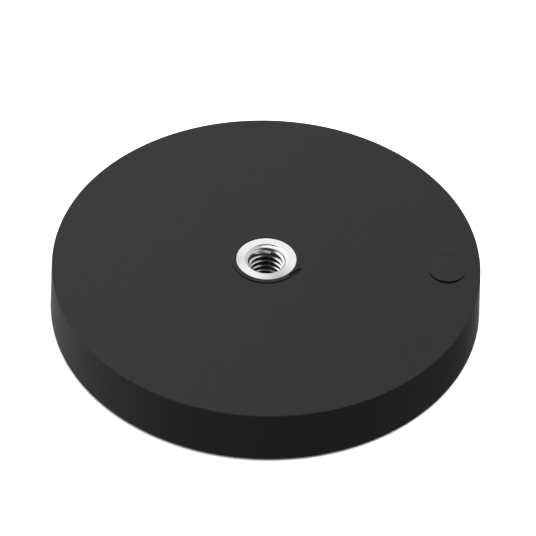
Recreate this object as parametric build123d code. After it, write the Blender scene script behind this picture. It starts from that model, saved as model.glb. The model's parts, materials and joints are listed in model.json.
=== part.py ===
from build123d import *
import math
import os

# Rubber-coated pot magnet with a threaded bush. A steel back plate carries two rings of disc magnets
# on its underside and a blind threaded bush in its centre, and one moulded rubber jacket encloses
# them all. Only the end face of the bush and its thread are open, in the mounting face.
#
# Frame: millimetres, +Z along the thread towards its mouth. The origin is the centre of the
# magnetic face, which lies in the plane z = 0. +X runs from the thread axis through the gate pad.

os.makedirs("parts", exist_ok=True)

# ---- Driving dimensions -----------------------------------------------------------------------

# Rubber jacket. The mould parts at the magnetic face, so the rim there is left sharp.
jacket_diameter = 66.0          # over the magnetic face, where the disc is widest
jacket_height = 8.5             # magnetic face to mounting face
side_draft = 3.5                # degrees that the side wall leans in towards the mounting face
side_skin = 2.0                 # rubber beyond the plate's rim, at the mounting face
face_skin = 0.8                 # rubber under the magnets
top_edge_break = 0.15

# Raised ring of rubber that seals round the bush
lip_width = 0.7
lip_height = 0.2
lip_edge_break = 0.07

# Raised pad left by the mould's gate, on the mounting face
gate_pad_diameter = 5.6
gate_pad_height = 0.3
gate_pad_edge_break = 0.1
gate_pad_inset = 2.25           # from the mounting face's edge to the pad's edge

# Steel back plate
plate_thickness = 2.0
flow_hole_diameter = 3.0        # in every second gap of the inner ring, to tie the rubber's faces

# Disc magnets
magnet_diameter = 9.0
magnet_thickness = 4.0
magnet_rim_margin = 0.4         # from the outer magnets to the plate's rim
outer_magnet_count = 12         # even counts, because the poles alternate round each ring
inner_magnet_count = 6

# Threaded bush, turned from hexagonal bar
bush_diameter = 9.2             # the shank, and its end face that stays open
bush_floor = 0.7                # metal left under the drill point
bush_edge_chamfer = 0.08
collar_step = 0.9               # how far the collar's flats stand out from the shank
collar_thickness = 1.5
thread_core_diameter = 5.0      # tapping drill for the M6 x 1 thread
countersink_width = 0.57        # on the radius, at 45 degrees
drill_point_angle = 118.0

# Named clearance
bush_plate_clearance = 0.01     # on the radius, shank to the plate's hole

# ---- Sizes and places that follow from them ---------------------------------------------------

jacket_radius = jacket_diameter / 2
mounting_face_radius = jacket_radius - jacket_height * math.tan(math.radians(side_draft))

plate_radius = mounting_face_radius - side_skin
plate_underside = face_skin + magnet_thickness

bush_radius = bush_diameter / 2
bush_length = jacket_height - face_skin
collar_flat_radius = bush_radius + collar_step
collar_corner_radius = collar_flat_radius / math.cos(math.radians(30))
core_radius = thread_core_diameter / 2
drill_point_height = core_radius / math.tan(math.radians(drill_point_angle / 2))

outer_ring_radius = plate_radius - magnet_rim_margin - magnet_diameter / 2
outer_ring_inner_edge = outer_ring_radius - magnet_diameter / 2
inner_ring_radius = (collar_corner_radius + outer_ring_inner_edge) / 2

lip_radius = bush_radius + lip_width
gate_pad_centre = mounting_face_radius - gate_pad_inset - gate_pad_diameter / 2


# ---- Shared helpers ---------------------------------------------------------------------------

def disc(radius, height):
    """Plain disc that stands on z = 0."""
    return extrude(Circle(radius), height)


def revolved(points):
    """Solid of revolution about Z from a closed outline of (radius, height) points."""
    outline = Plane.XZ * Polyline(*points, close=True)
    return revolve(make_face(outline), Axis.Z)


def rim(solid, radius, height):
    """The solid's circular edges of one radius, centred on the Z axis at one height."""
    def matches(edge):
        centre = edge.arc_center
        return (
            math.isclose(edge.radius, radius, abs_tol=1e-4)
            and math.isclose(centre.Z, height, abs_tol=1e-4)
            and math.hypot(centre.X, centre.Y) < 1e-4
        )

    return solid.edges().filter_by(GeomType.CIRCLE).filter_by(matches)


# ---- Pieces -----------------------------------------------------------------------------------

def make_magnet_ring(radius, count):
    """Disc magnets spaced evenly round Z, each bonded to the underside of the back plate."""
    magnet = disc(magnet_diameter / 2, magnet_thickness)
    return [place * Pos(Z=face_skin) * magnet for place in PolarLocations(radius, count)]


def make_plate_blank():
    """Steel disc with a flow hole in every second gap of the inner ring, and no hole for the bush."""
    half_step = 180 / inner_magnet_count
    gaps = list(PolarLocations(inner_ring_radius, inner_magnet_count, start_angle=half_step))
    flow_hole = disc(flow_hole_diameter / 2, plate_thickness)
    blank = disc(plate_radius, plate_thickness) - [place * flow_hole for place in gaps[::2]]
    return Pos(Z=plate_underside) * blank


def make_back_plate():
    """Plate that closes the magnetic circuit and carries the bush in its centre hole."""
    bush_hole = disc(bush_radius + bush_plate_clearance, plate_thickness)
    return make_plate_blank() - Pos(Z=plate_underside) * bush_hole


def make_bush_blank():
    """Outside form of the bush: a shank with a hexagonal collar that bears under the plate."""
    shank = disc(bush_radius, bush_length)
    shank = chamfer(rim(shank, bush_radius, bush_length), bush_edge_chamfer)

    bar = extrude(RegularPolygon(collar_corner_radius, 6), collar_thickness)
    turned = disc(collar_corner_radius, collar_thickness)
    turned = chamfer(rim(turned, collar_corner_radius, 0), collar_corner_radius - collar_flat_radius)
    collar_foot = plate_underside - collar_thickness
    return Pos(Z=face_skin) * shank + Pos(Z=collar_foot) * (bar & turned)


def make_threaded_bush():
    """Blind bush, drilled and countersunk from its open end for the thread."""
    bore = revolved([
        (0, bush_floor),
        (core_radius, bush_floor + drill_point_height),
        (core_radius, bush_length - countersink_width),
        (core_radius + countersink_width, bush_length),
        (0, bush_length),
    ])
    return make_bush_blank() - Pos(Z=face_skin) * bore


def make_jacket_body():
    """Outside form of the jacket: a drafted disc, the lip round the bush and the gate pad."""
    lip_top = jacket_height + lip_height
    body = revolved([
        (0, 0),
        (jacket_radius, 0),
        (mounting_face_radius, jacket_height),
        (lip_radius, jacket_height),
        (lip_radius, lip_top),
        (bush_radius, lip_top),
        (bush_radius, jacket_height),
        (0, jacket_height),
    ])
    body = chamfer(rim(body, mounting_face_radius, jacket_height), top_edge_break)
    body = chamfer(rim(body, lip_radius, lip_top), lip_edge_break)

    pad = disc(gate_pad_diameter / 2, gate_pad_height)
    pad = chamfer(rim(pad, gate_pad_diameter / 2, gate_pad_height), gate_pad_edge_break)
    return body + Pos(gate_pad_centre, 0, jacket_height) * pad


def make_rubber_jacket(magnets):
    """One moulding that fills every space round the metal it encloses, up to the metal's faces."""
    return make_jacket_body() - [make_plate_blank(), make_bush_blank(), *magnets]


# ---- Assembly ---------------------------------------------------------------------------------

outer_magnets = make_magnet_ring(outer_ring_radius, outer_magnet_count)
inner_magnets = make_magnet_ring(inner_ring_radius, inner_magnet_count)

nodes = {
    "rubber_jacket": make_rubber_jacket(outer_magnets + inner_magnets),
    "back_plate": make_back_plate(),
    "threaded_bush": make_threaded_bush(),
}
for ring, magnets in (("outer", outer_magnets), ("inner", inner_magnets)):
    for number, magnet in enumerate(magnets, start=1):
        nodes[f"{ring}_magnet_{number:02d}"] = magnet

for name, node in nodes.items():
    export_step(node, f"parts/{name}.step")
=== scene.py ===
"""Looks of a rubber-coated pot magnet with a threaded bush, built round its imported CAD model.

Metres, in the CAD model's own frame: +Z runs along the thread to its mouth, the centre of
the magnetic face is the origin, and +X runs from the thread's axis through the gate pad.
Sizes in the classes are millimetres and angles are degrees, where a comment says nothing else.
"""

import json
import logging
import math
from collections.abc import Callable, Iterable, Iterator
from contextlib import contextmanager
from dataclasses import dataclass, field
from enum import Enum, IntEnum

import bmesh
import bpy
from mathutils import Matrix, Vector

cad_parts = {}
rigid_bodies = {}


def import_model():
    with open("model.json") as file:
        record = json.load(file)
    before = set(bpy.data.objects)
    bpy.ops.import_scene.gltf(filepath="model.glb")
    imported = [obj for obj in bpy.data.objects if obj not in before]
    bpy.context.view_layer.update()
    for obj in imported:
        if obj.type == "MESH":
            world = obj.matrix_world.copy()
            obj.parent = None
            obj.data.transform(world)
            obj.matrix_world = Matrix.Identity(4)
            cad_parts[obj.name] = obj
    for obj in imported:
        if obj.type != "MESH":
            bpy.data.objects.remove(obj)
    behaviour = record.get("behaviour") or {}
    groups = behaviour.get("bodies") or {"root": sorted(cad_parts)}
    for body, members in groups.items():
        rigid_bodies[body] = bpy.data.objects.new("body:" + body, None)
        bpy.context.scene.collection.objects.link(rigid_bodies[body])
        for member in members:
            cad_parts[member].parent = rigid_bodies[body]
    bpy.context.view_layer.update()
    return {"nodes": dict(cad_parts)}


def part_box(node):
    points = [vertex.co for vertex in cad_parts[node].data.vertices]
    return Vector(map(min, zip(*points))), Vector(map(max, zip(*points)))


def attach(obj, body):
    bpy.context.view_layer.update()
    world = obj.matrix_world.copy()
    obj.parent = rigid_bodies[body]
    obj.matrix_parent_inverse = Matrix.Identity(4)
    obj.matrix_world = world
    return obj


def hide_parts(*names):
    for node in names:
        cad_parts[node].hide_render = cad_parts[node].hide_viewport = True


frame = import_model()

MM = 0.001
TOUCH = 0.02  # mm within which two places are taken as one
DOUBLE = 0.0005  # mm within which two points are merged
FACING_UP = 0.5  # least rise of the normal of a face that faces up
ROUND = 4  # strips that stand for a round that shows
SMALL_ROUND = 3  # strips that stand for one that barely shows
WIDE_FACES = 100  # percent: how much wide faces count for more in the smoothing
NOISE_LOW, NOISE_HIGH = 0.3, 0.7  # where most of a noise texture's values lie

log = logging.getLogger("pot_magnet")

Object = bpy.types.Object
Material = bpy.types.Material
Tree = bpy.types.NodeTree
Node = bpy.types.Node
Socket = bpy.types.NodeSocket
Point = tuple[float, float]
Triple = tuple[float, float, float]
PointTest = Callable[[Vector], bool]
EdgeTest = Callable[[Vector, Vector], bool]


class Cut(Enum):
    """How one solid is combined with another."""

    AWAY = "DIFFERENCE"
    ON = "UNION"
    COMMON = "INTERSECT"


class Pick(Enum):
    """What is picked out while a mesh is edited."""

    POINTS = "VERT"
    EDGES = "EDGE"
    FACES = "FACE"


class Run(Enum):
    """How a ramp runs from stop to stop."""

    EASED = "EASE"
    STRAIGHT = "LINEAR"


class Axis(IntEnum):
    """An axis of the frame, by its place in a vector."""

    X = 0
    Y = 1
    Z = 2


# ---- Shaping ---------------------------------------------------------------------------------


def deselect_all() -> None:
    """Leaves nothing selected, so that the next operator acts on its own piece."""
    bpy.ops.object.select_all(action="DESELECT")


def make_active(obj: Object) -> None:
    """Selects one object alone and makes it the active one.

    Args:
        obj: The object that the next operator acts on.
    """
    deselect_all()
    obj.select_set(True)
    bpy.context.view_layer.objects.active = obj


@contextmanager
def editing(obj: Object, pick: Pick) -> Iterator[bmesh.types.BMesh]:
    """Opens an object in edit mode with nothing selected.

    Args:
        obj: The object to edit.
        pick: What is going to be selected.

    Returns:
        The mesh being edited, whose elements can be selected in code.
    """
    make_active(obj)
    bpy.ops.object.mode_set(mode="EDIT")
    bpy.ops.mesh.select_mode(type=pick.value)
    bpy.ops.mesh.select_all(action="DESELECT")
    try:
        yield bmesh.from_edit_mesh(obj.data)
    finally:
        bpy.ops.object.mode_set(mode="OBJECT")


def face_outwards() -> None:
    """Turns every face of the mesh being edited outwards."""
    bpy.ops.mesh.select_all(action="SELECT")
    bpy.ops.mesh.normals_make_consistent(inside=False)


def just_added(name: str) -> Object:
    """Names the object that was added last and gives it back.

    Args:
        name: The name for it and its mesh.

    Returns:
        The object.
    """
    obj = bpy.context.object
    obj.name = obj.data.name = name
    return obj


def on_ring(radius: float, height: float, centre: Point = (0.0, 0.0)) -> EdgeTest:
    """Makes a test for the edges that lie round one ring.

    Args:
        radius: The ring's radius, in mm.
        height: The ring's height, in mm.
        centre: The ring's axis in X and Y, in mm.

    Returns:
        A test of an edge's two ends.
    """

    def is_there(point: Vector) -> bool:
        """Tells whether a point lies on the ring."""
        out = math.hypot(point.x / MM - centre[0], point.y / MM - centre[1])
        return abs(out - radius) < TOUCH and abs(point.z / MM - height) < TOUCH

    return lambda a, b: is_there(a) and is_there(b)


def anywhere(point: Vector) -> bool:
    """Passes every point of a mesh."""
    return True


def lowest(node: str, axis: Axis) -> float:
    """Gives a CAD node's lowest place along an axis, in mm."""
    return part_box(node)[0][axis] / MM


def highest(node: str, axis: Axis) -> float:
    """Gives a CAD node's highest place along an axis, in mm."""
    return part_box(node)[1][axis] / MM


def add_disc(
    name: str, radius: float, height: float, sides: int, centre: Point = (0.0, 0.0)
) -> Object:
    """Adds a flat disc, the start of a turned form.

    Args:
        name: The object's name.
        radius: The disc's radius, in mm.
        height: Its height, in mm.
        sides: How many straight sides stand for its rim.
        centre: Its axis in X and Y, in mm.

    Returns:
        The disc, with its origin at the frame's.
    """
    deselect_all()
    place = (centre[0] * MM, centre[1] * MM, height * MM)
    bpy.ops.mesh.primitive_circle_add(
        vertices=sides, radius=radius * MM, fill_type="NGON", location=place
    )
    disc = just_added(name)
    bpy.ops.object.transform_apply()
    return disc


def draw_up(disc: Object, outline: Iterable[Point], centre: Point = (0.0, 0.0)) -> None:
    """Extrudes a disc's face from ring to ring of a turned outline.

    Args:
        disc: A flat disc whose rim is the outline's first ring.
        outline: The (radius, height) of each ring in turn, in mm, the disc's own first. A
            radius of nought closes the form in a point.
        centre: The outline's axis in X and Y, in mm.
    """
    rings = list(outline)
    with editing(disc, Pick.FACES):
        bpy.ops.mesh.select_all(action="SELECT")
        for (radius, height), (next_radius, next_height) in zip(rings, rings[1:]):
            rise = (0.0, 0.0, (next_height - height) * MM)
            bpy.ops.mesh.extrude_region_move(TRANSFORM_OT_translate={"value": rise})
            if next_radius == 0.0:
                bpy.ops.mesh.merge(type="CENTER")
                break
            grow = next_radius / radius
            middle = (centre[0] * MM, centre[1] * MM, next_height * MM)
            bpy.ops.transform.resize(value=(grow, grow, 1.0), center_override=middle)
        face_outwards()


def tilt(obj: Object, chosen: PointTest, pivot: Vector, slope: Point) -> None:
    """Tilts part of a mesh a little about a point.

    The faces that it leaves slightly warped are split into triangles, which are always flat.

    Args:
        obj: The object to change.
        chosen: A test of each point's place; those that pass are moved.
        pivot: The point that stays, in metres.
        slope: How steeply the part then rises along X and along Y, in mm for each mm.
    """
    turns = (("X", -slope[1]), ("Y", slope[0]))
    with editing(obj, Pick.POINTS) as mesh:
        for point in mesh.verts:
            point.select_set(chosen(point.co))
        bmesh.update_edit_mesh(obj.data)
        for axis, angle in turns:
            bpy.ops.transform.rotate(value=angle, orient_axis=axis, center_override=pivot)
        bpy.ops.mesh.select_more()
        bpy.ops.mesh.quads_convert_to_tris()


def lift_top(obj: Object, rise: float) -> None:
    """Runs a solid's top on into what stands on it, so that two cuts never end in one plane.

    Args:
        obj: The solid to change.
        rise: How far its top moves, in mm.
    """
    with editing(obj, Pick.FACES) as mesh:
        for face in mesh.faces:
            face.select_set(face.normal.z > FACING_UP)
        bpy.ops.transform.translate(value=(0.0, 0.0, rise * MM))


def merge_points(obj: Object, chosen: PointTest, gap: float) -> None:
    """Merges a mesh's chosen points where they all but touch.

    Args:
        obj: The object to change.
        chosen: A test of each point's place; those that pass are merged.
        gap: How near they must lie to each other, in mm.
    """
    with editing(obj, Pick.POINTS) as mesh:
        for point in mesh.verts:
            point.select_set(chosen(point.co))
        bmesh.update_edit_mesh(obj.data)
        bpy.ops.mesh.remove_doubles(threshold=gap * MM)


def cast_of(name: str, nodes: Iterable[str]) -> Object:
    """Joins merged copies of CAD nodes, to be cut from what is moulded round them.

    Args:
        name: The cast's name.
        nodes: The nodes' names.

    Returns:
        The cast, a mesh of its own.
    """
    deselect_all()
    for node in nodes:
        twin = bpy.data.objects.new(name, frame["nodes"][node].data.copy())
        bpy.context.collection.objects.link(twin)
        twin.select_set(True)
        bpy.context.view_layer.objects.active = twin
    bpy.ops.object.join()
    cast = bpy.context.object
    merge_points(cast, anywhere, DOUBLE)
    return cast


def round_edges(obj: Object, tests: Iterable[EdgeTest], width: float, strips: int) -> None:
    """Bevels the edges that pass any of some tests.

    Args:
        obj: The object to bevel.
        tests: Tests of an edge's two ends.
        width: How far the bevel reaches from each edge, in mm.
        strips: How many strips stand for the round.
    """
    chosen = list(tests)
    with editing(obj, Pick.EDGES) as mesh:
        for edge in mesh.edges:
            a, b = (v.co for v in edge.verts)
            if any(test(a, b) for test in chosen):
                edge.select_set(True)
        bmesh.update_edit_mesh(obj.data)
        bpy.ops.mesh.bevel(
            offset_type="OFFSET", offset=width * MM, segments=strips, profile=0.5, affect="EDGES"
        )


def apply_modifier(obj: Object, kind: str, **settings: object) -> None:
    """Adds a modifier to an object and applies it at once.

    Args:
        obj: The object to change.
        kind: The modifier's type.
        **settings: The modifier's properties.
    """
    make_active(obj)
    modifier = obj.modifiers.new(kind.title(), kind)
    for key, value in settings.items():
        setattr(modifier, key, value)
    bpy.ops.object.modifier_apply(modifier=modifier.name)


def combine(obj: Object, tool: Object, cut: Cut) -> None:
    """Cuts a closed tool's form from a solid or joins it on, and uses the tool up."""
    apply_modifier(obj, "BOOLEAN", object=tool, operation=cut.value, solver="EXACT")
    bpy.data.objects.remove(tool)


def finish_mesh(obj: Object, crease: float) -> None:
    """Merges doubles, turns every face outwards and smooths the rounds but not the flats.

    What a cut left of the casts' own normals is cleared first, because it would shade the flats.

    Args:
        obj: The finished solid.
        crease: The angle in degrees past which an edge stays sharp.
    """
    merge_points(obj, anywhere, DOUBLE)
    with editing(obj, Pick.FACES):
        face_outwards()
    bpy.ops.mesh.customdata_custom_splitnormals_clear()
    bpy.ops.object.shade_smooth_by_angle(angle=math.radians(crease))
    apply_modifier(obj, "WEIGHTED_NORMAL", mode="FACE_AREA", weight=WIDE_FACES, keep_sharp=True)


# ---- Finishes --------------------------------------------------------------------------------


def linear(colour: str) -> tuple[float, float, float, float]:
    """Turns an sRGB hex colour to linear light.

    Args:
        colour: Six hex digits after a hash sign.

    Returns:
        Linear red, green, blue and an alpha of one.
    """
    channels = (int(colour[i : i + 2], 16) / 255 for i in (1, 3, 5))
    red, green, blue = (
        c / 12.92 if c <= 0.04045 else ((c + 0.055) / 1.055) ** 2.4 for c in channels
    )
    return red, green, blue, 1.0


def add_node(tree: Tree, kind: str, inputs: dict[str | int, object], **settings: object) -> Node:
    """Adds a node with its settings, values and links.

    Args:
        tree: The node tree it goes in.
        kind: What the node's type name says after ShaderNode.
        inputs: For each input, by name or number, its value or the socket it is linked from.
        **settings: The node's own properties.

    Returns:
        The node.
    """
    node = tree.nodes.new(f"ShaderNode{kind}")
    for key, value in settings.items():
        setattr(node, key, value)
    for key, value in inputs.items():
        if isinstance(value, Socket):
            tree.links.new(value, node.inputs[key])
        else:
            node.inputs[key].default_value = value
    return node


def add_ramp(tree: Tree, part: Socket, stops: Iterable[Point], run: Run) -> Socket:
    """Adds a ramp of greys that follows a direction's part along an axis.

    Args:
        tree: The node tree it goes in.
        part: The part, from -1 to 1.
        stops: Parts in rising order, each with its grey.
        run: How the ramp runs from stop to stop.

    Returns:
        The ramp's grey.
    """
    share = add_node(tree, "MapRange", {"Value": part, "From Min": -1.0, "From Max": 1.0})
    ramp = add_node(tree, "ValToRGB", {"Fac": share.outputs["Result"]})
    ramp.color_ramp.interpolation = run.value
    elements = ramp.color_ramp.elements
    places = list(stops)
    while len(elements) < len(places):
        elements.new(0.5)
    for element, (place, value) in zip(elements, places):
        element.position = (place + 1) / 2
        element.color = (value, value, value, 1.0)
    return ramp.outputs["Color"]


def per_metre(size: float) -> float:
    """The scale that gives a noise texture features of one size in mm."""
    return 1.0 / (size * MM)


def ring_scale(pitch: float) -> float:
    """The scale that gives a wave texture, which has 20 rings in 2 pi, one in each pitch in mm."""
    return 2 * math.pi / (20 * pitch * MM)


@dataclass(frozen=True)
class Finish:
    """One real material and how its surface was made."""

    name: str
    colour: str
    roughness: float
    metallic: float

    def texture(self, tree: Tree, shader: Node, place: Socket) -> None:
        """Adds the finish's own pattern to a shader."""
        raise NotImplementedError

    def make(self) -> Material:
        """Builds the material.

        Returns:
            The new material, named for what it is.
        """
        colour = linear(self.colour)
        material = bpy.data.materials.new(self.name)
        material.use_nodes = True
        material.diffuse_color = colour
        tree = material.node_tree
        tree.nodes.clear()
        place = add_node(tree, "TexCoord", {}).outputs["Object"]
        shader = add_node(
            tree,
            "BsdfPrincipled",
            {"Base Color": colour, "Roughness": self.roughness, "Metallic": self.metallic},
        )
        self.texture(tree, shader, place)
        add_node(tree, "OutputMaterial", {"Surface": shader.outputs["BSDF"]})
        return material


@dataclass(frozen=True)
class MouldedRubber(Finish):
    """Carbon-black rubber, pressed in a lapped steel mould.

    The carbon leaves almost no body colour, so what the eye gets is the skin's satin sheen,
    which brightens where a wall is seen edge on, with a faint cloudiness and a fine grain.
    """

    name: str = "nitrile_rubber_moulded"
    colour: str = "#050505"
    cloud_colour: str = "#080808"
    roughness: float = 0.2
    metallic: float = 0.0
    ior: float = 1.5
    specular: float = 0.37
    cloud_size: float = 7.0
    wave_size: float = 3.0
    wave_depth: float = 0.02
    # The mould's real grain is about a tenth of this: it is drawn coarse to show
    grain_size: float = 0.28
    grain_depth: float = 0.0025
    gloss_swing: float = 0.02

    def texture(self, tree: Tree, shader: Node, place: Socket) -> None:
        """Adds the skin's cloudiness, its slight waves and the mould's grain.

        Args:
            tree: The material's node tree.
            shader: The surface shader.
            place: The point on the piece, in metres.
        """
        shader.inputs["IOR"].default_value = self.ior
        shader.inputs["Specular IOR Level"].default_value = self.specular
        clouds = add_node(
            tree,
            "TexNoise",
            {"Vector": place, "Scale": per_metre(self.cloud_size), "Detail": 4.0, "Roughness": 0.6},
        )
        body = add_node(
            tree,
            "Mix",
            {0: clouds.outputs["Fac"], 6: linear(self.colour), 7: linear(self.cloud_colour)},
            data_type="RGBA",
        )
        gloss = add_node(
            tree,
            "MapRange",
            {
                "Value": clouds.outputs["Fac"],
                "From Min": NOISE_LOW,
                "From Max": NOISE_HIGH,
                "To Min": self.roughness - self.gloss_swing,
                "To Max": self.roughness + self.gloss_swing,
            },
        )
        grain = add_node(
            tree,
            "TexNoise",
            {"Vector": place, "Scale": per_metre(self.grain_size), "Detail": 2.0, "Roughness": 0.5},
        )
        waves = add_node(
            tree,
            "TexNoise",
            {"Vector": place, "Scale": per_metre(self.wave_size), "Detail": 1.0, "Roughness": 0.4},
        )
        waviness = add_node(
            tree, "Bump", {"Height": waves.outputs["Fac"], "Distance": self.wave_depth * MM}
        )
        bump = add_node(
            tree,
            "Bump",
            {
                "Height": grain.outputs["Fac"],
                "Distance": self.grain_depth * MM,
                "Normal": waviness.outputs["Normal"],
            },
        )
        tree.links.new(body.outputs[2], shader.inputs["Base Color"])
        tree.links.new(gloss.outputs["Result"], shader.inputs["Roughness"])
        tree.links.new(bump.outputs["Normal"], shader.inputs["Normal"])


@dataclass(frozen=True)
class TurnedZinc(Finish):
    """Bright zinc plate on turned free-cutting steel.

    It gives the eye a white, slightly soft shine with the lathe's rings just showing through.
    Two spots on the face are painted shade, a duller grey where the face's reflection dims. The
    bottom of the bore is darker: bare steel with painted shade.
    """

    name: str = "zinc_plated_turned_steel"
    colour: str = "#F3F4F4"
    roughness: float = 0.14
    metallic: float = 1.0
    # The grey of the painted shade spots on the face
    painted_shade_colour: str = "#A9ABAC"
    # The bore's dark depth, bare steel with painted shade: its colour, its roughness and the
    # heights over which it sets in
    bare_and_shade_colour: str = "#2E2D2C"
    bare_roughness: float = 0.45
    bare_and_shade_from: float = 3.75
    bare_and_shade_to: float = 3.35
    feed: float = 0.12
    feed_depth: float = 0.0004
    bloom_size: float = 1.1
    gloss_swing: float = 0.03
    # Painted shade: each spot's place in X and Y, its reach and how much of the shade colour shows
    # at its middle
    painted_shade_spots: tuple[tuple[float, float, float, float], ...] = (
        (2.1, -3.7, 3.4, 0.75),
        (-4.4, -0.4, 2.6, 0.4),
    )

    def texture(self, tree: Tree, shader: Node, place: Socket) -> None:
        """Adds the painted shade spots on the face, the bore's dark depth of bare steel and painted
        shade, the plate's bloom and the lathe's rings.

        Args:
            tree: The material's node tree.
            shader: The surface shader.
            place: The point on the piece, in metres.
        """
        tone: object = linear(self.colour)
        # Painted shade: darker grey spots on the face, where its reflection dims
        for x, y, reach, depth in self.painted_shade_spots:
            scale = (1 / (reach * MM), 1 / (reach * MM), 0.0)
            nearby = add_node(
                tree,
                "Mapping",
                {"Vector": place, "Location": (-x / reach, -y / reach, 0.0), "Scale": scale},
            )
            fade = add_node(
                tree, "TexGradient", {"Vector": nearby.outputs["Vector"]}, gradient_type="SPHERICAL"
            )
            shade_strength = add_node(
                tree, "Math", {0: fade.outputs["Fac"], 1: depth}, operation="MULTIPLY"
            )
            shade_spot = add_node(
                tree,
                "Mix",
                {0: shade_strength.outputs["Value"], 6: tone, 7: linear(self.painted_shade_colour)},
                data_type="RGBA",
            )
            tone = shade_spot.outputs[2]
        # Bare steel with painted shade: the bore turns dark towards its bottom
        height = add_node(tree, "SeparateXYZ", {"Vector": place}).outputs["Z"]
        bare_and_shade = add_node(
            tree,
            "MapRange",
            {"Value": height, "From Min": self.bare_and_shade_from * MM, "From Max": self.bare_and_shade_to * MM},
        ).outputs["Result"]
        tone = add_node(
            tree, "Mix", {0: bare_and_shade, 6: tone, 7: linear(self.bare_and_shade_colour)}, data_type="RGBA"
        ).outputs[2]
        rings = add_node(
            tree,
            "TexWave",
            {"Vector": place, "Scale": ring_scale(self.feed)},
            wave_type="RINGS",
            rings_direction="Z",
        )
        bloom = add_node(
            tree,
            "TexNoise",
            {
                "Vector": place,
                "Scale": per_metre(self.bloom_size),
                "Detail": 3.0,
                "Roughness": 0.55,
            },
        )
        gloss = add_node(
            tree,
            "MapRange",
            {
                "Value": bloom.outputs["Fac"],
                "From Min": NOISE_LOW,
                "From Max": NOISE_HIGH,
                "To Min": self.roughness - self.gloss_swing,
                "To Max": self.roughness + self.gloss_swing,
            },
        )
        dull = add_node(tree, "Mix", {0: bare_and_shade, 2: gloss.outputs["Result"], 3: self.bare_roughness})
        bump = add_node(
            tree, "Bump", {"Height": rings.outputs["Fac"], "Distance": self.feed_depth * MM}
        )
        tree.links.new(tone, shader.inputs["Base Color"])
        tree.links.new(dull.outputs[0], shader.inputs["Roughness"])
        tree.links.new(bump.outputs["Normal"], shader.inputs["Normal"])


@dataclass(frozen=True)
class RolledSteel(Finish):
    """Cold-rolled low-carbon steel, as it leaves the mill.

    It gives the eye a grey metal with soft streaks along the rolling direction.
    """

    name: str = "cold_rolled_steel"
    colour: str = "#B4B6B8"
    roughness: float = 0.36
    metallic: float = 1.0
    streak_width: float = 0.3
    streak_stretch: float = 0.04
    streak_depth: float = 0.001
    gloss_drop: float = 0.08
    gloss_rise: float = 0.1

    def texture(self, tree: Tree, shader: Node, place: Socket) -> None:
        """Adds the rolling streaks, long in X and a fraction of a millimetre wide.

        Args:
            tree: The material's node tree.
            shader: The surface shader.
            place: The point on the piece, in metres.
        """
        along = add_node(
            tree, "Mapping", {"Vector": place, "Scale": (self.streak_stretch, 1.0, 1.0)}
        ).outputs["Vector"]
        streaks = add_node(
            tree,
            "TexNoise",
            {"Vector": along, "Scale": per_metre(self.streak_width), "Detail": 3.0},
        )
        gloss = add_node(
            tree,
            "MapRange",
            {
                "Value": streaks.outputs["Fac"],
                "To Min": self.roughness - self.gloss_drop,
                "To Max": self.roughness + self.gloss_rise,
            },
        )
        bump = add_node(
            tree, "Bump", {"Height": streaks.outputs["Fac"], "Distance": self.streak_depth * MM}
        )
        tree.links.new(gloss.outputs["Result"], shader.inputs["Roughness"])
        tree.links.new(bump.outputs["Normal"], shader.inputs["Normal"])


@dataclass(frozen=True)
class NickelPlate(Finish):
    """Barrel-plated nickel on a sintered magnet.

    It gives the eye a warm mirror that is dulled a little by the sinter's pebbled skin.
    """

    name: str = "nickel_plated_sinter"
    colour: str = "#CFC8BC"
    roughness: float = 0.16
    metallic: float = 1.0
    # Real pebbles are finer: these are drawn coarse to show
    pebble_size: float = 0.45
    pebble_depth: float = 0.003

    def texture(self, tree: Tree, shader: Node, place: Socket) -> None:
        """Adds the pebbling of the sintered core under the plate.

        Args:
            tree: The material's node tree.
            shader: The surface shader.
            place: The point on the piece, in metres.
        """
        pebbles = add_node(
            tree, "TexNoise", {"Vector": place, "Scale": per_metre(self.pebble_size), "Detail": 2.0}
        )
        bump = add_node(
            tree, "Bump", {"Height": pebbles.outputs["Fac"], "Distance": self.pebble_depth * MM}
        )
        tree.links.new(bump.outputs["Normal"], shader.inputs["Normal"])


@dataclass(frozen=True)
class MattPaper(Finish):
    """Heavy white studio paper.

    It gives the eye an even, pale ground with no shine of its own.
    """

    name: str = "white_studio_paper"
    colour: str = "#F2F2F1"
    roughness: float = 1.0
    metallic: float = 0.0
    specular: float = 0.0
    tooth_colour: str = "#EFEFEE"
    tooth_size: float = 0.8

    def texture(self, tree: Tree, shader: Node, place: Socket) -> None:
        """Adds the paper's slight tooth.

        Args:
            tree: The material's node tree.
            shader: The surface shader.
            place: The point on the piece, in metres.
        """
        shader.inputs["Specular IOR Level"].default_value = self.specular
        tooth = add_node(
            tree, "TexNoise", {"Vector": place, "Scale": per_metre(self.tooth_size), "Detail": 2.0}
        )
        tint = add_node(
            tree,
            "Mix",
            {0: tooth.outputs["Fac"], 6: linear(self.colour), 7: linear(self.tooth_colour)},
            data_type="RGBA",
        )
        tree.links.new(tint.outputs[2], shader.inputs["Base Color"])


def dress(obj: Object, material: Material) -> None:
    """Gives an object one material in place of what it had."""
    obj.data.materials.clear()
    obj.data.materials.append(material)


# ---- Pieces ----------------------------------------------------------------------------------


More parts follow.
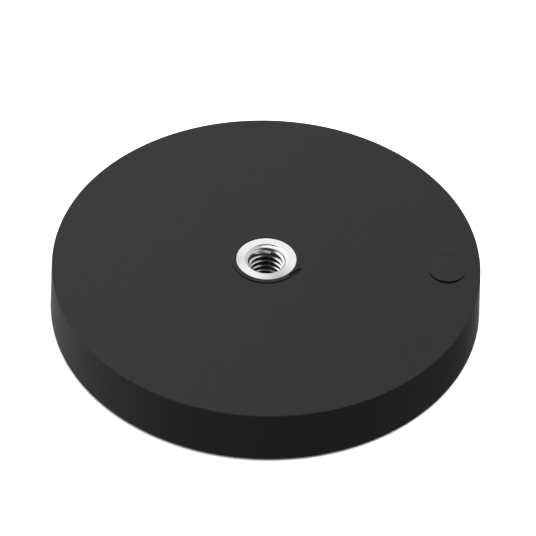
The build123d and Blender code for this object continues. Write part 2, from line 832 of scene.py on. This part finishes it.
@dataclass(frozen=True)
class Flaw:
    """A small flaw in the rubber: where it is, its half lengths and its turn.

    It is a nick where it is cut away, and a speck of flash where it is joined on.
    """

    place: Triple
    reach: Triple
    turn: float
    cut: Cut = Cut.AWAY
    sides: int = 32

    def form(self) -> Object:
        """Adds the flaw's own rounded form.

        Returns:
            The form as a loose solid.
        """
        deselect_all()
        bpy.ops.mesh.primitive_uv_sphere_add(
            segments=self.sides,
            ring_count=self.sides // 2,
            radius=MM,
            location=Vector(self.place) * MM,
        )
        form = just_added("flaw")
        form.scale = self.reach
        form.rotation_euler = (0.0, 0.0, math.radians(self.turn))
        bpy.ops.object.transform_apply()
        return form


@dataclass
class RubberJacket:
    """The moulded jacket: a drafted disc with a lip round the bush and a gate pad near its rim.

    The lip, the pad and the moat behind the pad all lean a little. A slope is the rise along X
    and along Y in each mm.
    """

    base_radius: float = field(default_factory=lambda: highest("rubber_jacket", Axis.X))
    bush_radius: float = 4.6
    bush_foot: float = field(default_factory=lambda: lowest("threaded_bush", Axis.Z))
    face: float = field(default_factory=lambda: highest("threaded_bush", Axis.Z))
    draft: float = 3.5
    base_edge: float = 0.08
    bead_height: float = 0.05
    bead_width: float = 0.75
    bead_edge: float = 0.08
    # Rings that part the wide face into narrow strips, for clean cuts and even shading
    face_rings: tuple[float, ...] = (26.0, 20.0, 14.5, 9.5, 7.0)
    lip_width: float = 0.7
    lip_height: float = 0.11
    lip_edge: float = 0.03
    lip_slope: Point = (-0.006, -0.007)
    pad_place: Point = (27.43, 0.0)
    pad_radius: float = 2.8
    pad_height: float = 0.11
    pad_root: float = 0.3
    pad_edge: float = 0.02
    pad_slope: Point = (0.002, -0.054)
    moat_gap: float = 0.35
    moat_section: float = 0.8
    moat_slope: Point = (0.0, -0.01)
    flaws: tuple[Flaw, ...] = (
        Flaw((4.56, -2.66, 8.487), (1.45, 0.36, 0.34), 47.0),
        Flaw((-17.9, -27.0, 8.487), (0.42, 0.26, 0.143), -33.6, Cut.ON),
    )
    # The plate's underside, where three cuts meet, and the gap within which points merge there
    seam: float = field(default_factory=lambda: lowest("back_plate", Axis.Z))
    seam_gap: float = 0.008
    sides: int = 288
    small_sides: int = 96
    crease: float = 40.0

    def turn_body(self) -> Object:
        """Draws up the disc with its slight bead and the lip, and rounds their rims.

        Returns:
            The body without its gate pad, open to the bush's foot.
        """
        rim = self.base_radius - self.face * math.tan(math.radians(self.draft))
        bead_top = self.face + self.bead_height
        lip_radius = self.bush_radius + self.lip_width
        lip_top = self.face + self.lip_height
        outline = [
            (self.base_radius, 0.0),
            (rim, bead_top),
            (rim - self.bead_width, self.face),
            *((radius, self.face) for radius in self.face_rings),
            (lip_radius, self.face),
            (lip_radius, lip_top),
            (self.bush_radius, lip_top),
            (self.bush_radius, self.bush_foot),
        ]
        body = add_disc("rubber_jacket_skin", self.base_radius, 0.0, self.sides)
        draw_up(body, outline)
        round_edges(body, [on_ring(rim, bead_top)], self.bead_edge, ROUND)
        round_edges(body, [on_ring(self.base_radius, 0.0)], self.base_edge, ROUND)
        lip_rims = [on_ring(lip_radius, lip_top), on_ring(self.bush_radius, lip_top)]
        round_edges(body, lip_rims, self.lip_edge, SMALL_ROUND)
        lip_foot = Vector((0.0, 0.0, self.face * MM))
        above = (self.face + TOUCH) * MM

        def is_on_lip(point: Vector) -> bool:
            """Tells whether a point stands over the face, within the lip's outer rim."""
            return point.z > above and math.hypot(point.x, point.y) < (lip_radius + TOUCH) * MM

        tilt(body, is_on_lip, lip_foot, self.lip_slope)
        return body

    def turn_pad(self) -> Object:
        """Draws up the gate pad, rooted in the face it stands on and not quite level.

        Returns:
            The pad as a loose solid.
        """
        root, top = self.face - self.pad_root, self.face + self.pad_height
        pad = add_disc("gate_pad", self.pad_radius, root, self.small_sides, self.pad_place)
        draw_up(pad, [(self.pad_radius, root), (self.pad_radius, top)], self.pad_place)
        rim = on_ring(self.pad_radius, top, self.pad_place)
        round_edges(pad, [rim], self.pad_edge, SMALL_ROUND)
        middle = Vector((*self.pad_place, top)) * MM
        tilt(pad, lambda point: point.z > self.face * MM, middle, self.pad_slope)
        return pad

    def sink_moat(self) -> Object:
        """Adds the ring whose underside sinks a shallow moat behind the pad.

        Returns:
            The ring as a loose solid, tilted clear of the face in front of the pad.
        """
        deselect_all()
        middle = Vector((*self.pad_place, self.face + self.moat_section)) * MM
        bpy.ops.mesh.primitive_torus_add(
            location=middle,
            major_segments=self.small_sides,
            minor_segments=self.small_sides,
            major_radius=(self.pad_radius + self.moat_gap) * MM,
            minor_radius=self.moat_section * MM,
        )
        moat = just_added("moat")
        bpy.ops.object.transform_apply()
        tilt(moat, anywhere, middle, self.moat_slope)
        return moat

    def build(self, metal: Iterable[Object], rubber: Material) -> Object:
        """Builds the jacket and dresses it.

        The small flaws are cut first, while the body is still one plain shell.

        Args:
            metal: Casts of what the rubber was moulded round, besides the bush's shank. They are
                used up.
            rubber: The jacket's material.

        Returns:
            The finished jacket.
        """
        jacket = self.turn_body()
        for flaw in self.flaws:
            combine(jacket, flaw.form(), flaw.cut)
        combine(jacket, self.sink_moat(), Cut.AWAY)
        combine(jacket, self.turn_pad(), Cut.ON)
        for cast in metal:
            combine(jacket, cast, Cut.AWAY)
        merge_points(jacket, lambda point: abs(point.z / MM - self.seam) < TOUCH, self.seam_gap)
        finish_mesh(jacket, self.crease)
        dress(jacket, rubber)
        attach(jacket, "root")
        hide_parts("rubber_jacket")
        return jacket


@dataclass
class ThreadedBush:
    """The turned bush: a shank with a hexagonal collar, a countersunk blind bore and its thread."""

    shank_radius: float = 4.6
    foot: float = field(default_factory=lambda: lowest("threaded_bush", Axis.Z))
    face: float = field(default_factory=lambda: highest("threaded_bush", Axis.Z))
    edge: float = 0.06
    collar_corner: float = field(default_factory=lambda: highest("threaded_bush", Axis.X))
    collar_flat: float = field(default_factory=lambda: highest("threaded_bush", Axis.Y))
    collar_thickness: float = 1.5
    collar_top: float = field(default_factory=lambda: lowest("back_plate", Axis.Z))
    collar_sides: int = 6
    collar_turn: float = 30.0
    # How far the collar's turning and the drill's mouth reach past the metal
    turning_clear: float = 0.1
    drill_clear: float = 0.04
    core_radius: float = 2.5
    core_bottom: float = 3.002
    drill_tip: float = 1.5
    countersink: float = 0.645
    countersink_foot: Point = (2.875, 8.19)
    lead_foot: float = 7.25
    mouth_edge: float = 0.18
    throat_edge: float = 0.05
    major_radius: float = 3.0
    pitch: float = 1.0
    flank: float = 30.0
    tooth_overlap: float = 0.1
    thread_start: float = 3.68
    turns: int = 6
    turn_steps: int = 96
    sides: int = 192
    crease: float = 38.0

    def turn_blank(self) -> Object:
        """Draws up the shank and joins the collar to it.

        Returns:
            The bush before it is drilled.
        """
        blank = add_disc("threaded_bush_turned", self.shank_radius, self.foot, self.sides)
        draw_up(blank, [(self.shank_radius, self.foot), (self.shank_radius, self.face)])
        combine(blank, self.turn_collar(), Cut.ON)
        return blank

    def turn_collar(self) -> Object:
        """Draws up the hexagonal collar and turns the corners off its underside.

        Returns:
            The collar as a loose solid.
        """
        bottom, top = self.collar_top - self.collar_thickness, self.collar_top
        corner, flat = self.collar_corner, self.collar_flat
        collar = add_disc("collar", corner, bottom, self.collar_sides)
        turn = math.radians(self.collar_turn)
        with editing(collar, Pick.FACES):
            bpy.ops.mesh.select_all(action="SELECT")
            bpy.ops.transform.rotate(value=turn, orient_axis="Z", center_override=(0, 0, 0))
        draw_up(collar, [(corner, bottom), (corner, top)])
        outside = corner + self.turning_clear
        turned = add_disc("collar_turning", flat, bottom, self.sides)
        slope_top = bottom + outside - flat
        over = top + self.turning_clear
        draw_up(turned, [(flat, bottom), (outside, slope_top), (outside, over)])
        combine(collar, turned, Cut.COMMON)
        return collar

    def turn_drill(self) -> Object:
        """Draws down the form that the drill and the countersink leave.

        Returns:
            The form as a loose solid, its wide end just clear of the bush's face.
        """
        mouth = self.core_radius + self.countersink + self.drill_clear
        over = self.face + self.drill_clear
        outline = [
            (mouth, over),
            self.countersink_foot,
            (self.core_radius, self.lead_foot),
            (self.core_radius, self.core_bottom),
            (0.0, self.drill_tip),
        ]
        drill = add_disc("drill", mouth, over, self.sides)
        draw_up(drill, outline)
        return drill

    def wind_tap(self) -> Object:
        """Winds the form that the tap leaves: one tooth's section, swept up a helix.

        Returns:
            The helix as a closed solid.
        """
        crest = self.core_radius - self.tooth_overlap
        # A metric thread's flat at the root is an eighth of the pitch wide
        root_half = self.pitch / 16
        crest_half = root_half + (self.major_radius - crest) * math.tan(math.radians(self.flank))
        middle = Vector(((crest + self.major_radius) / 2, 0.0, self.thread_start)) * MM
        upright = (math.radians(90), 0.0, 0.0)
        deselect_all()
        bpy.ops.mesh.primitive_plane_add(size=1.0, location=middle, rotation=upright)
        tap = just_added("tap")
        tap.scale = ((self.major_radius - crest) * MM, 2 * crest_half * MM, 1.0)
        bpy.ops.object.transform_apply()
        with editing(tap, Pick.EDGES) as mesh:
            for edge in mesh.edges:
                edge.select_set(all(v.co.x > middle.x for v in edge.verts))
            bmesh.update_edit_mesh(tap.data)
            narrowed = (1.0, 1.0, root_half / crest_half)
            bpy.ops.transform.resize(value=narrowed, center_override=middle)
        apply_modifier(
            tap,
            "SCREW",
            angle=2 * math.pi,
            screw_offset=self.pitch * MM,
            iterations=self.turns,
            steps=self.turn_steps,
            render_steps=self.turn_steps,
            axis="Z",
            use_merge_vertices=False,
        )
        with editing(tap, Pick.EDGES):
            bpy.ops.mesh.select_non_manifold()
            bpy.ops.mesh.fill_holes(sides=0)
            face_outwards()
        return tap

    def build(self, zinc: Material) -> Object:
        """Builds the bush and dresses it.

        Args:
            zinc: The bush's material.

        Returns:
            The finished bush.
        """
        bush = self.turn_blank()
        combine(bush, self.turn_drill(), Cut.AWAY)
        mouth = self.core_radius + self.countersink
        round_edges(bush, [on_ring(self.shank_radius, self.face)], self.edge, SMALL_ROUND)
        round_edges(bush, [on_ring(mouth, self.face)], self.mouth_edge, ROUND)
        round_edges(bush, [on_ring(*self.countersink_foot)], self.throat_edge, SMALL_ROUND)
        combine(bush, self.wind_tap(), Cut.AWAY)
        finish_mesh(bush, self.crease)
        dress(bush, zinc)
        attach(bush, "root")
        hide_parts("threaded_bush")
        return bush


@dataclass
class MagnetCircuit:
    """The back plate and the magnets that the jacket hides: CAD nodes that only need a finish.

    The casts of them run on into each other and into the bush, so that no two cuts in the
    rubber share a plane.
    """

    plate: str = "back_plate"
    magnet_mark: str = "_magnet_"
    hole_reach: float = 5.0
    hole_scale: float = 0.9
    cast_overlap: float = 0.1

    def magnets(self) -> list[str]:
        """Lists the magnets' nodes by name."""
        return sorted(name for name in frame["nodes"] if self.magnet_mark in name)

    def casts(self) -> list[Object]:
        """Gives a cast of the plate, its hole drawn in within the bush, and one of the magnets.

        Returns:
            Two loose solids to cut from the rubber.
        """
        plate = cast_of("plate_cast", [self.plate])
        with editing(plate, Pick.POINTS) as mesh:
            for point in mesh.verts:
                point.select_set(math.hypot(point.co.x, point.co.y) < self.hole_reach * MM)
            bmesh.update_edit_mesh(plate.data)
            drawn_in = (self.hole_scale, self.hole_scale, 1.0)
            bpy.ops.transform.resize(value=drawn_in, center_override=(0.0, 0.0, 0.0))
        magnets = cast_of("magnet_casts", self.magnets())
        lift_top(magnets, self.cast_overlap)
        return [plate, magnets]

    def build(self, steel: Material, nickel: Material) -> list[Object]:
        """Dresses the hidden nodes.

        Args:
            steel: The back plate's material.
            nickel: The magnets' material.

        Returns:
            The nodes that were dressed.
        """
        plate = frame["nodes"][self.plate]
        magnets = [frame["nodes"][name] for name in self.magnets()]
        dress(plate, steel)
        for magnet in magnets:
            dress(magnet, nickel)
        return [plate, *magnets]


# ---- Studio ----------------------------------------------------------------------------------


@dataclass
class Studio:
    """Floor, soft light all round and the camera."""

    floor_drop: float = 0.35
    # In metres
    floor_side: float = 60.0
    # In pixels: the frame's side, the focal length and where the magnetic face's middle shows
    frame_px: float = 536.0
    focal_px: float = 2358.5
    base_px: Point = (266.12, 298.78)
    elevation: float = 44.53
    azimuth: float = 2.8
    roll: float = 1.53
    distance: float = 363.8
    sensor: float = 36.0
    # The sky's grey by angle over the horizon, and its gain along each axis where it is steep
    sky: tuple[Point, ...] = (
        (-90.0, 0.263), (-12.0, 0.282), (-3.0, 0.752), (8.0, 0.893), (38.0, 0.83),
        (51.0, 1.0), (61.0, 0.94), (71.0, 0.05), (90.0, 0.015),
    )
    sky_lean: Triple = (-0.5, 0.11, 0.0)
    # Below this rise it is dimmed, by a direction's part along Y and unevenly along X
    low_edge: float = -0.1
    low_back: tuple[Point, ...] = (
        (-0.1, 0.12), (0.17, 0.3), (0.37, 0.46), (0.55, 0.53),
        (0.65, 0.52), (0.69, 0.35), (0.71, 0.05), (0.72, 0.0),
    )
    low_back_lean: float = 0.5
    low_strength: float = 1.13
    # Above it, it fades from one side to the other within a reach along X
    side_fade: Point = (1.04, 0.89)
    side_reach: float = 0.14
    overhead_place: Triple = (0.1, 0.1, 1.0)
    overhead_strength: float = 5.0
    overhead_spread: float = 50.0
    front_place: Triple = (0.0, -0.7, 0.7)
    front_strength: float = 0.12
    front_spread: float = 40.0
    # In metres
    clip: Point = (0.01, 100.0)

    def lay_floor(self, paper: Material) -> None:
        """Lays the floor under the magnetic face, with a gap that shows as a thin shadow.

        Args:
            paper: The floor's material.
        """
        deselect_all()
        place = (0.0, 0.0, -self.floor_drop * MM)
        bpy.ops.mesh.primitive_plane_add(size=self.floor_side, location=place)
        floor = just_added("paper_floor")
        floor.visible_glossy = False
        dress(floor, paper)

    def light(self) -> None:
        """Sets the soft surround, a broad lamp that whitens the floor and a faint one in front."""
        scene = bpy.context.scene
        world = scene.world or bpy.data.worlds.new("studio")
        scene.world = world
        world.use_nodes = True
        tree = world.node_tree
        tree.nodes.clear()
        heading = add_node(tree, "TexCoord", {}).outputs["Generated"]
        parts = add_node(tree, "SeparateXYZ", {"Vector": heading})
        stops = [(math.sin(math.radians(angle)), value) for angle, value in self.sky]
        grey = add_ramp(tree, parts.outputs["Z"], stops, Run.EASED)
        strength = add_node(
            tree,
            "Math",
            {0: self.lean_sky(tree, heading, parts), 1: self.dim_sky(tree, parts)},
            operation="MULTIPLY",
        )
        back = add_node(tree, "Background", {"Color": grey, "Strength": strength.outputs["Value"]})
        add_node(tree, "OutputWorld", {"Surface": back.outputs["Background"]})
        overhead = self.hang_lamp(
            "overhead", self.overhead_place, self.overhead_strength, self.overhead_spread
        )
        overhead.visible_glossy = False
        self.hang_lamp("front_fill", self.front_place, self.front_strength, self.front_spread)

    def lean_sky(self, tree: Tree, heading: Socket, parts: Node) -> Socket:
        """Makes the sky brighter towards one side, most of all where it is steep.

        Args:
            tree: The world's node tree.
            heading: The direction looked in.
            parts: The direction's parts.

        Returns:
            The sky's gain.
        """
        lean = add_node(tree, "VectorMath", {0: heading, 1: self.sky_lean}, operation="DOT_PRODUCT")
        steepness = add_node(tree, "Math", {0: parts.outputs["Z"]}, operation="ABSOLUTE")
        steep_lean = add_node(
            tree,
            "Math",
            {0: lean.outputs["Value"], 1: steepness.outputs["Value"]},
            operation="MULTIPLY",
        )
        gain = add_node(tree, "Math", {0: steep_lean.outputs["Value"], 1: 1.0}, operation="ADD")
        return gain.outputs["Value"]

    def dim_sky(self, tree: Tree, parts: Node) -> Socket:
        """Dims the sky low down towards the back, and fades it from side to side elsewhere.

        Args:
            tree: The world's node tree.
            parts: The direction's parts.

        Returns:
            The share of the sky's brightness that stays.
        """
        low = add_node(
            tree, "Math", {0: parts.outputs["Z"], 1: self.low_edge}, operation="LESS_THAN"
        )
        low_back = add_ramp(tree, parts.outputs["Y"], self.low_back, Run.STRAIGHT)
        uneven = add_node(
            tree,
            "Math",
            {0: parts.outputs["X"], 1: self.low_back_lean, 2: 1.0},
            operation="MULTIPLY_ADD",
        )
        dimming = add_node(
            tree, "Math", {0: low_back, 1: uneven.outputs["Value"]}, operation="MULTIPLY"
        )
        below = add_node(
            tree, "Math", {0: self.low_strength, 1: dimming.outputs["Value"]}, operation="SUBTRACT"
        )
        above = add_node(
            tree,
            "MapRange",
            {
                "Value": parts.outputs["X"],
                "From Min": -self.side_reach,
                "From Max": self.side_reach,
                "To Min": self.side_fade[0],
                "To Max": self.side_fade[1],
            },
            interpolation_type="SMOOTHSTEP",
        )
        share = add_node(
            tree,
            "Mix",
            {0: low.outputs["Value"], 2: above.outputs["Result"], 3: below.outputs["Value"]},
        )
        return share.outputs[0]

    def hang_lamp(self, name: str, place: Triple, strength: float, spread: float) -> Object:
        """Hangs a broad, distant lamp that shines at the origin.

        Args:
            name: The lamp's name.
            place: Where it hangs, in metres; only the direction matters.
            strength: Its irradiance.
            spread: How wide it looks, in degrees.

        Returns:
            The lamp.
        """
        deselect_all()
        turn = Vector(place).to_track_quat("Z", "Y").to_euler()
        bpy.ops.object.light_add(type="SUN", location=place, rotation=turn)
        lamp = bpy.context.object
        lamp.name = name
        lamp.data.energy = strength
        lamp.data.angle = math.radians(spread)
        return lamp

    def stand_camera(self) -> None:
        """Stands the camera over the front of the magnet and turns it to its framing."""
        height, turn = math.radians(self.elevation), math.radians(self.azimuth)
        flat = math.cos(height)
        back = Vector((math.sin(turn) * flat, -math.cos(turn) * flat, math.sin(height)))
        half = self.frame_px / 2
        yaw = math.atan2(self.base_px[0] - half, self.focal_px)
        pitch = math.atan2(self.base_px[1] - half, self.focal_px)
        look = (-back).to_track_quat("-Z", "Y").to_matrix()
        look = look @ Matrix.Rotation(yaw, 3, "Y") @ Matrix.Rotation(pitch, 3, "X")
        look = look @ Matrix.Rotation(math.radians(self.roll), 3, "Z")
        deselect_all()
        bpy.ops.object.camera_add(location=back * self.distance * MM, rotation=look.to_euler())
        camera = bpy.context.object
        camera.name = "camera"
        camera.data.sensor_width = self.sensor
        camera.data.lens = self.focal_px / self.frame_px * self.sensor
        camera.data.clip_start, camera.data.clip_end = self.clip
        bpy.context.scene.camera = camera

    def build(self, paper: Material) -> None:
        """Builds the studio.

        Args:
            paper: The floor's material.
        """
        view = bpy.context.scene.view_settings
        view.view_transform = "Standard"
        view.look = "None"
        self.lay_floor(paper)
        self.light()
        self.stand_camera()


def report(obj: Object) -> None:
    """Logs a piece's name, face count and box.

    Args:
        obj: The finished piece.
    """
    corners = [Vector(c) / MM for c in obj.bound_box]
    low = tuple(round(min(c[i] for c in corners), 2) for i in range(3))
    high = tuple(round(max(c[i] for c in corners), 2) for i in range(3))
    log.info("%s: %d faces, %s to %s mm", obj.name, len(obj.data.polygons), low, high)


def main() -> None:
    """Builds the studio and the pieces in order."""
    logging.basicConfig(level=logging.INFO, format="%(name)s: %(message)s")
    Studio().build(MattPaper().make())
    bush, circuit = ThreadedBush(), MagnetCircuit()
    collar = bush.turn_collar()
    lift_top(collar, circuit.cast_overlap)
    pieces = [
        RubberJacket().build([collar, *circuit.casts()], MouldedRubber().make()),
        bush.build(TurnedZinc().make()),
        *circuit.build(RolledSteel().make(), NickelPlate().make()),
    ]
    for piece in pieces:
        report(piece)


if __name__ == "__main__":
    main()
